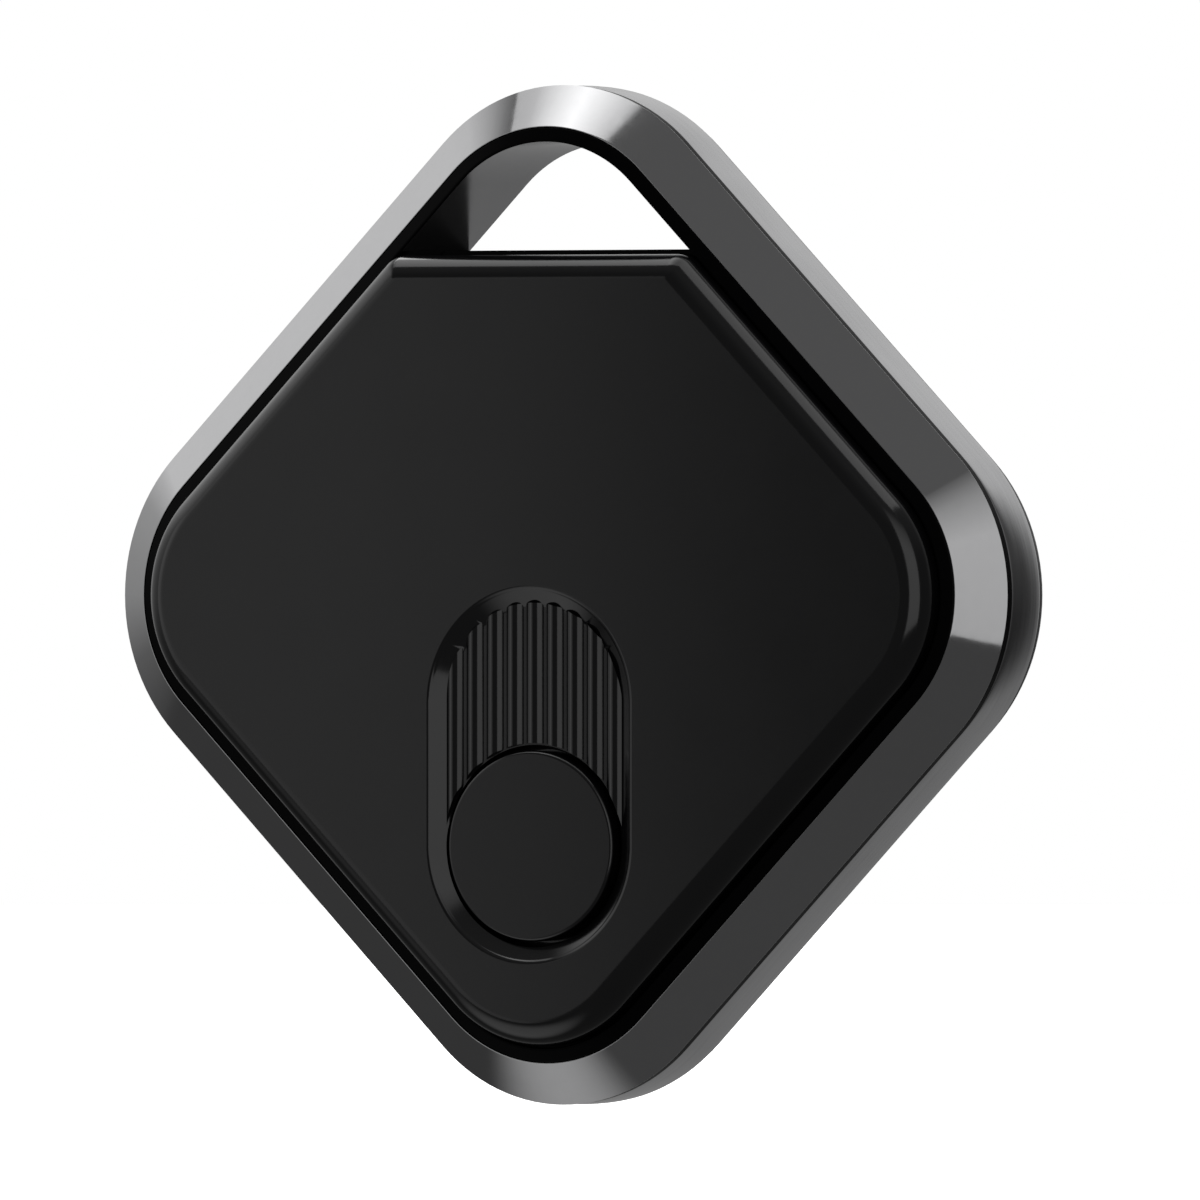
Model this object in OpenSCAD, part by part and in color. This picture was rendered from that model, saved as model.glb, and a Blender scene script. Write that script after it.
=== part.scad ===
// Bluetooth tracker tag: a rounded square case carried on its corner, with a keyring loop through
// the top corner, a ribbed finger recess and a push button on the front, a coin cell behind a
// twist-off door at the back. Millimetres throughout.
// Every piece is drawn lying flat: x to the right, y towards the loop, z out of the front, with
// z = 0 at the parting line of the front bezel. upright() stands it on its corner with the inner
// apex of the keyring loop at the origin and the front facing -Y.

/* [Case] */
// Width of the square case across its flats
across_flats = 38; // [37.6:0.1:39.6]
// Radius of the case's four rounded corners
corner_radius = 8.9; // [8.6:0.1:9.6]
// Height of the side wall behind the front parting line
side_height = 3; // [2.95:0.05:3.2]
// Radius of the rounded edge between the side wall and the back
back_round = 1.3; // [1.2:0.05:1.4]
// Width of the bezel's front chamfer, measured inwards
bezel_width = 1.9; // [1.7:0.05:2]
// Rise of the bezel's front chamfer
bezel_rise = 1.7; // [1.5:0.05:1.8]
// Width of the glossy rim between the bezel and the front cover
rim_width = 0.7; // [0.6:0.05:0.8]
// Height of the straight lower edge of the keyring loop above the case's centre
chord_height = 15.66; // [15.5:0.02:16]

/* [Front cover] */
// Height of the cover's flat face above the parting line
face_height = 3.27; // [3.2:0.01:3.4]
// Radius of the cover's rounded border
border_radius = 1.2; // [1:0.05:1.3]
// Gap between the cover and the rim around it
cover_gap = 0.1; // [0.08:0.01:0.14]
// Thickness of the cover's plate
cover_thickness = 1.1; // [1:0.05:1.15]

/* [Recess and button] */
// Width of the finger recess where it meets the face
recess_width = 10.5; // [10:0.1:11]
// Distance between the recess's two end arcs
recess_span = 6.45; // [5.5:0.05:6.6]
// Depth of the finger recess
recess_depth = 0.55; // [0.45:0.05:0.7]
// Distance of the button's axis below the case's centre
button_drop = 11.4; // [11.2:0.1:11.6]
// Diameter of the push button
button_diameter = 8.64; // [8.4:0.02:8.7]
// How far the button stands below the cover's face
button_setback = 0.08; // [0:0.02:0.3]
// Travel of the push button
button_travel = 0.2; // [0.1:0.02:0.22]
// Spacing of the grip ribs on the recess floor
rib_pitch = 1.05; // [1:0.05:1.1]

/* [Battery] */
// Diameter of the coin cell
cell_diameter = 20; // [19.8:0.05:20.1]
// Thickness of the coin cell
cell_thickness = 3.2; // [3.1:0.02:3.22]
// Diameter of the battery door's outer disc
door_diameter = 27.2; // [27:0.1:27.6]
// Length of the coin slot in the battery door
coin_slot = 14; // [12:0.5:18]

/* [Hidden] */
$fn = 96;
// Outline: the corner arcs keep their centres whatever the inset
half = across_flats / 2;
core = half - corner_radius;
root2 = sqrt(2);
reach = 2 * across_flats;
rim_inset = bezel_width + rim_width;
loop_apex = core * root2 + corner_radius - rim_inset;
// Side band, and the dark strip of the chassis that parts it from the bezel
parting = 0.1;
seam_back = -0.3;
seam_inset = 0.1;
rear_slip = 0.06;
rear_step = 0.2;
band = 0.9;
slip = 0.05;
rim_rise = bezel_rise + 0.15;
// Depths behind and in front of the parting line
back = -side_height - back_round;
side_back = -side_height;
rear_front = side_back - rear_slip;
rear_floor = 0.9;
// Added to the radius of a rounded edge, so that it never runs quite flush into the flat beside it
fullness = 0.02;
// How far pieces of one solid reach into each other
overlap = 0.1;
rear_inset = rear_step + rear_front - back;
door_plate = 0.8;
cell_back = back + door_plate + slip;
cell_front = cell_back + cell_thickness;
contact_rise = 0.3;
board_back = cell_front + contact_rise;
board_thickness = 0.6;
board_front = board_back + board_thickness;
ledge_back = board_front + slip;
ledge_front = 1.5;
seal_thickness = 0.1;
cover_back = ledge_front + seal_thickness;
plate_back = face_height - cover_thickness;
floor_front = face_height - recess_depth;
floor_back = 1.47;
loop_middle = (back + rim_rise) / 2;
// Chord wall below the loop, and the ledge that carries the cover
chord_wall = 1.2;
chord_inner = chord_height - chord_wall;
cover_inset = rim_inset + cover_gap;
cover_chord = chord_height - 0.21;
ledge_inset = 4;
wall_inset = 2.9;
ledge_depth = ledge_inset - rim_inset;
// Button
button_radius = button_diameter / 2;
running = 0.09;
guide_radius = button_radius + running;
guide_height = 0.45;
moat_radius = 4.7;
floor_radius = 4.45;
// Grip ribs, sunk a little into the floor
rib_radius = 0.55;
rib_height = 0.25;
rib_count = 4;
flange_radius = button_radius + 0.64;
flange_front = floor_back - 0.04;
flange_thickness = 0.4;
button_front = face_height - button_setback;
cap_thickness = 1.05;
cap_back = button_front - cap_thickness;
// Switch under the button
switch_size = [3, 2.6, 0.5];
plunger_radius = 0.75;
plunger_front = board_front + switch_size[2] + button_travel;
plunger_length = 0.37;
// Board screws, by the wall on both sides of the cell
screw_spots = [[9.9, -8.9], [-9.9, -8.9], [7.4, 11.4], [-7.4, 11.4]];
screw_radius = 0.6;
boss_radius = 1.6;
boss_front = plate_back - 0.12;
// Buzzer glued behind the cover, between the recess and the loop
buzzer_y = 7.3;
buzzer_radius = 6;
buzzer_glue = 0.1;
buzzer_back = plate_back - buzzer_glue;
plate_thickness = 0.15;
ceramic_thickness = 0.1;
// Battery door and its bayonet
cell_radius = cell_diameter / 2;
door_radius = door_diameter / 2;
door_rim = 0.48;
neck_radius = door_radius - 1.65;
neck_inner = neck_radius - 0.95;
neck_front = -2.7;
lip_radius = neck_radius + 0.08;
counterbore = back + door_rim + 0.04;
lip_front = -3.2;
lug_radius = neck_radius + 0.9;
lug_back = lip_front + slip;
lug_span = 20;
lug_turn = 30;
holder_wall = 0.65;
holder_inner = cell_radius + 0.12;
clip_angle = 215;

// Stands a piece up, with the loop's inner apex at the origin and the front facing -Y
module upright() {
    rotate([90, 0, 0])
        translate([0, -loop_apex, -loop_middle])
            children();
}

// A slab with the case's outline at an inset from its outer wall, between two heights
module slab(inset, low, high) {
    radius = corner_radius - inset;
    rotate(45)
        translate([0, 0, low])
            linear_extrude(high - low) {
                square([2 * (core + radius), 2 * core], center = true);
                square([2 * core, 2 * (core + radius)], center = true);
                for (x = [-core, core], y = [-core, core])
                    translate([x, y])
                        circle(radius);
            }
}

// Carries a flat section round the case. The section's x is 0 at the outer wall and negative
// inwards, its y is the height above the parting line.
module swept() {
    for (turn = [45, 135, 225, 315])
        rotate(turn) {
            translate([core, core, 0])
                rotate_extrude(angle = 90)
                    translate([corner_radius, 0])
                        children();
            translate([half, 0, 0])
                rotate([90, 0, 0])
                    linear_extrude(2 * core, center = true)
                        children();
        }
}

// Keeps only what lies between two lines across the case
module between(low, high) {
    intersection() {
        children();
        translate([-reach / 2, low, -reach / 2])
            cube([reach, high - low, reach]);
    }
}

// A disc or ring between two heights
module ring(outer, inner, low, high) {
    translate([0, 0, low])
        linear_extrude(high - low)
            difference() {
                circle(outer);
                if (inner > 0)
                    circle(inner);
            }
}

// A sector of a ring, centred on an angle
module sector(outer, inner, low, high, middle, span) {
    rotate_extrude(angle = span, start = middle - span / 2)
        translate([inner, low])
            square([outer - inner, high - low]);
}

// A box standing on a height, centred on a spot
module block(spot, size, low, turn = 0) {
    translate([spot[0], spot[1], low])
        rotate(turn)
            translate([-size[0] / 2, -size[1] / 2, 0])
                cube(size);
}

// A slot with round ends, as a solid with sloping walls: its half width grows from low to high
module tapered_slot(span, low_radius, high_radius, low, high) {
    for (y = [-span / 2, span / 2])
        translate([0, y, low])
            cylinder(h = high - low, r1 = low_radius, r2 = high_radius);
    rotate([90, 0, 0])
        linear_extrude(span, center = true)
            polygon([
                [-low_radius, low],
                [low_radius, low],
                [high_radius, high],
                [-high_radius, high]
            ]);
}

module front_bezel() {
    color("#b9bdc1")
        upright()
            swept()
                polygon([
                    [0, parting],
                    [0, parting + 0.1],
                    [-bezel_width, bezel_rise],
                    [-bezel_width, parting]
                ]);
}

module side_band() {
    color("#aeb2b6")
        upright()
            swept()
                polygon([
                    [-band, side_back],
                    [-0.14, side_back],
                    [-0.03, side_back * 0.8],
                    [0, side_back * 0.5],
                    [-0.03, side_back * 0.2],
                    [-0.1, seam_back],
                    [-band, seam_back]
                ]);
}

module chassis_section() {
    polygon([
        [-band - slip, side_back],
        [-band - slip, seam_back + 0.02],
        [-seam_inset, seam_back + 0.02],
        [-seam_inset, parting],
        [-bezel_width - slip, parting],
        [-bezel_width - slip, bezel_rise],
        [-rim_inset, rim_rise],
        [-rim_inset, side_back]
    ]);
}

module chassis_ledge() {
    between(-reach, chord_inner + slip)
        swept() {
            translate([-ledge_inset, ledge_back])
                square([ledge_depth + slip, ledge_front - ledge_back]);
            translate([-wall_inset, side_back])
                square([wall_inset - rim_inset + slip, ledge_back - side_back + slip]);
        }
}

module chassis_chord() {
    between(chord_inner, chord_height)
        slab(bezel_width + slip, back, ledge_front);
    between(chord_inner - 0.4, chord_inner + overlap)
        slab(rim_inset - slip, ledge_back, ledge_front);
}

module inner_chassis() {
    color("#101113")
        upright()
            difference() {
                union() {
                    swept()
                        chassis_section();
                    between(chord_inner + overlap, reach)
                        swept()
                            translate([-rim_inset, back])
                                square([rim_width - slip, side_back - back + slip]);
                    chassis_ledge();
                    chassis_chord();
                    for (spot = screw_spots) {
                        translate([spot[0], spot[1], board_front + 0.02])
                            cylinder(h = boss_front - board_front - 0.02, r = boss_radius);
                        translate(spot)
                            rotate(atan2(sign(spot[1]), sign(spot[0])))
                                block([1.2, 0], [2.4, 1.6, 0.6], ledge_back + overlap);
                    }
                }
                for (spot = screw_spots)
                    translate([spot[0], spot[1], board_back])
                        cylinder(h = boss_front - board_back - 0.12, r = screw_radius + 0.03);
            }
}

module cover_border() {
    translate([-cover_inset - border_radius, cover_back])
        square([border_radius, face_height - border_radius - cover_back]);
    intersection() {
        translate([-cover_inset - border_radius - fullness, face_height - border_radius])
            circle(border_radius + fullness);
        translate([-cover_inset - border_radius, face_height - border_radius])
            square(border_radius);
    }
}

// Everything the cover may fill below its straight upper edge, that edge rounded like the rest
module cover_limit() {
    rotate([90, 0, 90])
        linear_extrude(reach, center = true) {
            translate([cover_chord - reach, cover_back - 1])
                square([reach, face_height - border_radius - cover_back + 1]);
            translate([cover_chord - border_radius - reach, 0])
                square([reach, face_height + 1]);
            intersection() {
                translate([cover_chord - border_radius - fullness, face_height - border_radius])
                    circle(border_radius + fullness);
                translate([cover_chord - border_radius - overlap, 0])
                    square(reach);
            }
        }
}

module front_cover() {
    color("#3a3b3e")
        upright()
            difference() {
                union() {
                    intersection() {
                        union() {
                            swept()
                                cover_border();
                            slab(cover_inset + border_radius - overlap, plate_back, face_height);
                            between(chord_inner - 0.3, reach)
                                slab(cover_inset + overlap, cover_back, plate_back + overlap);
                        }
                        cover_limit();
                    }
                    translate([0, -button_drop + recess_span / 2, 0])
                        tapered_slot(recess_span, recess_width / 2 + 0.7, recess_width / 2 + 0.7,
                                     floor_back, plate_back + overlap);
                }
                translate([0, -button_drop + recess_span / 2, 0])
                    tapered_slot(recess_span, floor_radius, recess_width - floor_radius,
                                 floor_front, face_height + recess_depth);
                translate([0, -button_drop, floor_back - 1])
                    cylinder(h = 3, r = guide_radius);
                translate([0, -button_drop, floor_back + guide_height])
                    cylinder(h = 3, r = moat_radius);
            }
    color("#3a3b3e")
        upright()
            grip_ribs();
}

// Upright half-round ribs on the recess floor, cut off by the button's moat below
module grip_ribs() {
    intersection() {
        for (count = [-rib_count:rib_count])
            translate([count * rib_pitch, -button_drop, floor_front + rib_height - rib_radius])
                rotate([-90, 0, 0])
                    cylinder(h = recess_span + recess_width, r = rib_radius);
        difference() {
            translate([0, -button_drop + recess_span, floor_front - 0.1])
                linear_extrude(1) {
                    circle(floor_radius + 0.05);
                    translate([-floor_radius - 0.05, -recess_span])
                        square([2 * floor_radius + 0.1, recess_span]);
                }
            translate([0, -button_drop, floor_front - 1])
                cylinder(h = 3, r = moat_radius + 0.05);
        }
    }
}

module cover_seal() {
    color("#1c1c1e")
        upright()
            difference() {
                between(-reach, cover_chord - 0.15)
                    slab(cover_inset + 0.15, ledge_front, cover_back);
                between(-reach, chord_inner - 0.2)
                    slab(ledge_inset - 0.1, ledge_front - 1, cover_back + 1);
            }
}

module function_button() {
    color("#2b2c2f")
        upright()
            translate([0, -button_drop, 0])
                difference() {
                    union() {
                        translate([0, 0, flange_front - flange_thickness])
                            cylinder(h = button_front - 0.15 - flange_front + flange_thickness,
                                     r = button_radius);
                        translate([0, 0, button_front - 0.15])
                            cylinder(h = 0.15, r1 = button_radius, r2 = button_radius - 0.15);
                        ring(flange_radius, 0, flange_front - flange_thickness, flange_front);
                    }
                    translate([0, 0, flange_front - 1])
                        cylinder(h = cap_back - flange_front + 1, r = button_radius - 0.95);
                }
}

module button_pad() {
    color("#8a8d90")
        upright()
            translate([0, -button_drop, plunger_front + 0.02])
                cylinder(h = cap_back - plunger_front - 0.02, r = 1.6);
}

module switch_body() {
    color("#c9cbce")
        upright()
            difference() {
                block([0, -button_drop], switch_size, board_front);
                translate([0, -button_drop, board_front + 0.1])
                    cylinder(h = switch_size[2], r = plunger_radius + slip);
            }
}

module switch_plunger() {
    color("#1a1a1a")
        upright()
            translate([0, -button_drop, plunger_front - plunger_length])
                cylinder(h = plunger_length, r = plunger_radius);
}

module main_board() {
    color("#14532d")
        upright()
            difference() {
                between(-reach, chord_inner - 0.5)
                    slab(wall_inset + 0.4, board_back, board_front);
                for (spot = screw_spots)
                    translate([spot[0], spot[1], board_back - 1])
                        cylinder(h = 3, r = screw_radius + 0.1);
            }
}

module radio_chip() {
    color("#1b1c1f")
        upright()
            difference() {
                block([-9.2, 1.6], [5, 5, 0.85], board_front);
                translate([-11.1, 3.5, board_front + 0.8])
                    cylinder(h = 1, r = 0.3);
            }
}

module crystal() {
    color("#d0d2d4")
        upright() {
            block([-9.2, -2.8], [2.5, 2, 0.25], board_front);
            block([-9.2, -2.8], [2.2, 1.7, 0.55], board_front);
        }
}

module chip_antenna() {
    color("#e4e6e8")
        upright()
            block([-16.6, 0], [1.6, 3.2, 1.1], board_front);
}

module boost_inductor() {
    color("#55585c")
        upright() {
            block([10.4, 1.2], [3, 3, 1.1], board_front);
            block([10.4, 1.2], [3.3, 1.4, 0.4], board_front);
        }
}

module capacitors() {
    color("#b08d57")
        upright() {
            for (count = [0:3])
                block([-13.2, 3.4 - 1.3 * count], [1, 0.5, 0.5], board_front);
            for (count = [0:2])
                block([13.8, 2.5 - 1.3 * count], [1, 0.5, 0.5], board_front);
            for (side = [-1, 1])
                block([side * 7.2, -5.4], [0.5, 1, 0.5], board_front);
        }
}

module buzzer_plate() {
    color("#b5a642")
        upright()
            translate([0, buzzer_y, buzzer_back - plate_thickness])
                cylinder(h = plate_thickness, r = buzzer_radius);
}

module buzzer_ceramic() {
    color("#dcdde0")
        upright()
            translate([0, buzzer_y, buzzer_back - plate_thickness - ceramic_thickness])
                cylinder(h = ceramic_thickness, r = buzzer_radius * 0.7);
}

module buzzer_gasket() {
    color("#2a2a2c")
        upright()
            translate([0, buzzer_y, 0])
                ring(buzzer_radius, buzzer_radius - 1, buzzer_back, plate_back);
}

// One leaf spring from the board to a height: foot, sloping arm and flat tip
module leaf_spring(tip) {
    rotate([90, 0, 0])
        linear_extrude(0.8, center = true)
            polygon([
                [-1.2, board_front],
                [0.9, board_front],
                [0.9, board_front + 0.1],
                [-0.7, board_front + 0.1],
                [0.2, tip - 0.1],
                [1, tip - 0.1],
                [1, tip],
                [0.1, tip],
                [-1, board_front + 0.2],
                [-1.2, board_front + 0.1]
            ]);
}

module buzzer_springs() {
    color("#d8c27a")
        upright() {
            translate([-1.5, buzzer_y, 0])
                leaf_spring(buzzer_back - plate_thickness - ceramic_thickness);
            translate([4.6, buzzer_y, 0])
                leaf_spring(buzzer_back - plate_thickness);
        }
}

module cell_can() {
    color("#c8cacc")
        upright()
            difference() {
                ring(cell_radius, 0, cell_back, cell_front - 0.2);
                ring(cell_radius - 0.25, 0, cell_back + 0.25, cell_front);
            }
}

module cell_gasket() {
    color("#3b3b3d")
        upright()
            ring(cell_radius - 0.27, cell_radius - 1, cell_back + 0.27, cell_front - 0.15);
}

module cell_lid() {
    color("#bfc1c4")
        upright()
            difference() {
                ring(cell_radius - 1.02, 0, cell_back + 0.5, cell_front);
                ring(cell_radius - 1.27, 0, cell_back, cell_front - 0.25);
            }
}

module cell_core() {
    color("#4b4b4d")
        upright()
            ring(cell_radius - 1.29, 0, cell_back + 0.27, cell_front - 0.27);
}

module battery_holder() {
    color("#e8e8e2")
        upright()
            difference() {
                union() {
                    ring(holder_inner + holder_wall, holder_inner, lip_front - 0.1, board_back);
                    ring(holder_inner + 1.6, holder_inner, board_back - 0.6, board_back);
                }
                rotate(clip_angle)
                    block([holder_inner + 1, 0], [4, 3, 5], side_back + 0.3);
            }
}

module positive_contact() {
    color("#d9c36b")
        upright()
            rotate(clip_angle) {
                block([cell_radius + 0.13, 0], [0.17, 2.2, board_back + 2.5], -2.5);
                block([cell_radius + 1.2, 0], [2.3, 2.2, 0.15], board_back - 0.15);
            }
}

module negative_contact() {
    color("#d9c36b")
        upright()
            rotate([90, 0, 0])
                linear_extrude(2, center = true)
                    polygon([
                        [-6, cell_front],
                        [-5, cell_front],
                        [-2, board_back - 0.1],
                        [2, board_back - 0.1],
                        [5, cell_front],
                        [6, cell_front],
                        [6, cell_front + 0.1],
                        [5, cell_front + 0.1],
                        [2, board_back],
                        [-2, board_back],
                        [-5, cell_front + 0.1],
                        [-6, cell_front + 0.1]
                    ]);
}

module board_screws() {
    color("#9a9da0")
        upright()
            for (spot = screw_spots)
                translate([spot[0], spot[1], board_back])
                    difference() {
                        union() {
                            translate([0, 0, -0.6])
                                cylinder(h = 0.6, r = 1.2);
                            cylinder(h = boss_front - board_back - 0.25, r = screw_radius);
                        }
                        block([0, 0], [1.6, 0.3, 0.3], -0.6);
                        block([0, 0], [0.3, 1.6, 0.3], -0.6);
                    }
}

module rear_seal() {
    color("#1c1c1e")
        upright()
            difference() {
                slab(band + 0.15, rear_front, side_back);
                slab(bezel_width - 0.1, rear_front - 1, side_back + 1);
            }
}

// Round between the side wall and the back, a shade fuller than a quarter so that it meets the
// back at an angle
module rear_section() {
    intersection() {
        translate([-rear_inset, rear_front])
            circle(rear_front - back + fullness);
        translate([-rear_inset, back])
            square([rear_front - back + fullness, rear_front - back]);
    }
}

module rear_shell() {
    difference() {
        union() {
            swept()
                rear_section();
            slab(rear_inset - overlap, back, rear_front);
        }
        between(-reach, chord_inner)
            slab(bezel_width, back + rear_floor, 0);
        between(chord_inner - slip, reach)
            slab(bezel_width, back - 1, 0);
    }
}

module rear_cover() {
    color("#1d1e21")
        upright()
            difference() {
                union() {
                    rear_shell();
                    ring(door_radius + 0.5, 0, back + 0.2, lip_front);
                    for (count = [0:2])
                        sector(lug_radius + 0.1, lip_radius - 0.5, lip_front - 0.1, neck_front,
                               120 * count + 90 + lug_span / 2 + 3, 5);
                }
                ring(door_radius + 0.06, 0, back - 1, counterbore);
                ring(lip_radius, 0, back - 1, lip_front + 1);
                ring(door_radius - 0.2, door_radius - 1, counterbore - 0.1, counterbore + 0.18);
                for (count = [0:2])
                    sector(lug_radius + 0.1, lip_radius - 1, counterbore - 0.1, lip_front + 0.1,
                           120 * count + 90 - lug_turn, lug_span + 4);
                for (turn = [90, 90 - lug_turn])
                    rotate(turn)
                        translate([door_radius + 0.45, 0, back - 1])
                            cylinder(h = 1.2, r = 0.25);
            }
}

module battery_door() {
    color("#232427")
        upright()
            difference() {
                union() {
                    ring(door_radius, 0, back, back + door_rim);
                    ring(neck_radius, 0, back, back + door_plate);
                    ring(neck_radius, neck_inner, back + 0.2, neck_front);
                    for (count = [0:2])
                        sector(lug_radius, neck_inner + 0.3, lug_back, neck_front,
                               120 * count + 90, lug_span);
                }
                translate([0, 0, back - 1])
                    linear_extrude(1.4) {
                        square([1.8, coin_slot], center = true);
                        for (y = [-coin_slot / 2, coin_slot / 2])
                            translate([0, y])
                                circle(0.9);
                    }
                translate([0, door_radius - 0.9, back - 1])
                    cylinder(h = 1.2, r = 0.25);
            }
}

module door_seal() {
    color("#7a2f2a")
        upright()
            ring(door_radius - 0.25, door_radius - 0.95, counterbore - 0.02, counterbore + 0.16);
}

front_bezel();
side_band();
inner_chassis();
front_cover();
cover_seal();
function_button();
button_pad();
switch_body();
switch_plunger();
main_board();
radio_chip();
crystal();
chip_antenna();
boost_inductor();
capacitors();
buzzer_plate();
buzzer_ceramic();
buzzer_gasket();
buzzer_springs();
cell_can();
cell_gasket();
cell_core();
cell_lid();
battery_holder();
positive_contact();
negative_contact();
board_screws();
rear_seal();
rear_cover();
battery_door();
door_seal();
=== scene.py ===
"""Bluetooth tracker tag: the visible pieces, their finishes, the camera and the studio."""
import math

import bpy
from mathutils import Matrix, Vector


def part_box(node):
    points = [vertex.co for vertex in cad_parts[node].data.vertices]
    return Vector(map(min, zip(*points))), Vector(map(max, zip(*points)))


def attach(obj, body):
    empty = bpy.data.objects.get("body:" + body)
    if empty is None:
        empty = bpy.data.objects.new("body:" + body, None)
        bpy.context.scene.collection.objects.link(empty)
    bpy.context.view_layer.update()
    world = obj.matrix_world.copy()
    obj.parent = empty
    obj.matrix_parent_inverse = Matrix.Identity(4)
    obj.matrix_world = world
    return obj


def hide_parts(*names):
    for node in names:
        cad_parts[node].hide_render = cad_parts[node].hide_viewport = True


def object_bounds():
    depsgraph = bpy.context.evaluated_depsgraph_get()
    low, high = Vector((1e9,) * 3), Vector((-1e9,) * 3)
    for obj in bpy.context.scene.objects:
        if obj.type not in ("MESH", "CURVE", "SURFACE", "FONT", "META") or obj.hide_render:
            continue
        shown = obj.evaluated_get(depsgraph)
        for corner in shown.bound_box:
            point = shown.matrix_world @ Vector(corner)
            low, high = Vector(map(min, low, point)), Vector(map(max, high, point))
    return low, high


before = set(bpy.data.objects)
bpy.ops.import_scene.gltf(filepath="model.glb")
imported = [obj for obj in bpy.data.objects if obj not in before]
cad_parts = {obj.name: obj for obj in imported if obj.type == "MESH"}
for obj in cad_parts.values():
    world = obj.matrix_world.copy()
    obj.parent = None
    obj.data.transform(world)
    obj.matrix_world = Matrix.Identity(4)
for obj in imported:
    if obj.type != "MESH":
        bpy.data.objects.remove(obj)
cad_low, cad_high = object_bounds()

# ---------------------------------------------------------------- sizes, in millimetres
# The flat frame: x right, y towards the loop, z out of the front, z = 0 at the parting line
MM = 0.001
MERGE = 1e-4
LEVEL = 1e-3

# The outline, a rounded square on its corner
HALF = 18.995
CORNER = 8.9
CORNER_STEPS = 28

# The bezel, and the black strip between it and the side band
BEZEL = 1.9
BEZEL_RISE = 1.7
CHAMFER_FOOT = 0.1956
PARTING = 0.1
STRIP_TOP = 0.18
STRIP_INSET = 0.03

# The side band
SEAM_BACK = -0.3
SIDE_BACK = -3.0
SIDE_THICKNESS = 0.9

# The chassis: rim, ledge under the cover, skirt in the side band and wall below the loop
RIM_INSET = BEZEL + 0.7
LINING_INSET = BEZEL + 0.05
LEDGE_INSET = 4.0
LEDGE_TOP = 1.5
LEDGE_UNDER = 0.7
SKIRT_INSET = 0.95
SKIRT_TOP = -0.1
LOOP_WALL_FOOT = 14.46
LOOP_WALL_TOP = 15.6
LOOP_MIDDLE = 15.4

# The cover and its recess, whose wall is small round, slope and fillet from top to floor
COVER_INSET = 2.7
COVER_BACK = 1.6
COVER_INSIDE = 2.0
COVER_WALL = 1.2
COVER_EDGE = 15.45
COVER_BORDER = 1.17
COVER_CORNER = 1.2
FACE = 3.27
RECESS_RADIUS = 5.42
RECESS_SPAN = 6.45
RECESS_MOUTH = [(0, 3.275), (0.08, 3.262), (0.15, 3.235), (0.21, 3.19), (0.27, 3.13)]
FLOOR = 2.72
RECESS_FOOT = [(0.86, 2.79), (0.92, 2.745), (1.0, FLOOR)]
BOSS_RADIUS = 5.95
BOSS_BACK = 1.47

# The ribs on the recess floor
RIB_RADIUS = 0.55
RIB_PITCH = 1.05
RIB_COUNT = 9
RIB_SINK = 0.3
RIB_REACH = 4.6

# The button and the moat around it
BUTTON_Y = -11.4
BUTTON_FLANGE = 4.96
BUTTON_STEP = 0.64
BUTTON_BACK = 1.03
BUTTON_TOP = 3.19
BUTTON_ROUND = 0.16
MOAT_RADIUS = 4.6
MOAT_FLOOR = 1.92
GUIDE_RADIUS = 4.41

# The rear cover, the battery door and its lugs
BACK = -4.3
REAR_SLIP = 0.06
REAR_STEP = 0.2
REAR_WALL = 1.8
REAR_INSIDE = -3.4
SEAT_RADIUS = 14.6
SEAT_INSIDE = -3.2
LIP_RADIUS = 12.03
DOOR_RADIUS = 13.6
DOOR_GAP = 0.16
DOOR_SEAT = -3.78
DOOR_ROUND = 0.12
DOOR_PLATE = 0.48
DOOR_WALL_INSET = 1.65
DOOR_WALL = 0.95
DOOR_INSIDE = -2.7
COIN_SLOT = 12.2

# Cutting tools start and end clear of the tag
CLEAR_BACK = BACK - 1
CLEAR_FRONT = 4.2

bezel_low, bezel_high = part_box("front_bezel")
CENTRE_Z = (bezel_low.z + bezel_high.z) / 2
PARTING_Y = bezel_high.y + PARTING * MM
STAND_UP = (
    Matrix.Translation((0, PARTING_Y, CENTRE_Z))
    @ Matrix.Rotation(math.radians(90), 4, "X")
    @ Matrix.Scale(MM, 4)
)


# ---------------------------------------------------------------- modelling by hand
def put_down():
    """Leaves edit mode with nothing selected."""
    if bpy.context.object and bpy.context.object.mode != "OBJECT":
        bpy.ops.object.mode_set(mode="OBJECT")
    bpy.ops.object.select_all(action="DESELECT")


def take(piece):
    """Makes a piece the one that operators act on."""
    put_down()
    piece.select_set(True)
    bpy.context.view_layer.objects.active = piece


def named(name):
    """Names the piece just added and settles its place into its mesh."""
    piece = bpy.context.object
    piece.name = name
    piece.data.name = name
    bpy.ops.object.transform_apply(location=True, rotation=True, scale=True)
    return piece


def choose(piece, kind, test):
    """Selects vertices, edges or faces of a piece by place or normal, in edit mode."""
    bpy.ops.object.mode_set(mode="OBJECT")
    mesh = piece.data
    for parts in (mesh.vertices, mesh.edges, mesh.polygons):
        parts.foreach_set("select", [False] * len(parts))
    if kind == "VERT":
        for vertex in mesh.vertices:
            vertex.select = bool(test(vertex.co))
    elif kind == "EDGE":
        for edge in mesh.edges:
            first, second = (mesh.vertices[i].co for i in edge.vertices)
            edge.select = bool(test(first, second))
    else:
        for face in mesh.polygons:
            face.select = bool(test(face.center, face.normal))
    bpy.context.tool_settings.mesh_select_mode = (
        kind == "VERT",
        kind == "EDGE",
        kind == "FACE",
    )
    bpy.ops.object.mode_set(mode="EDIT")


def choose_all_faces():
    """Selects the whole piece in edit mode, face by face."""
    bpy.ops.mesh.select_mode(type="FACE")
    bpy.ops.mesh.select_all(action="SELECT")


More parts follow.
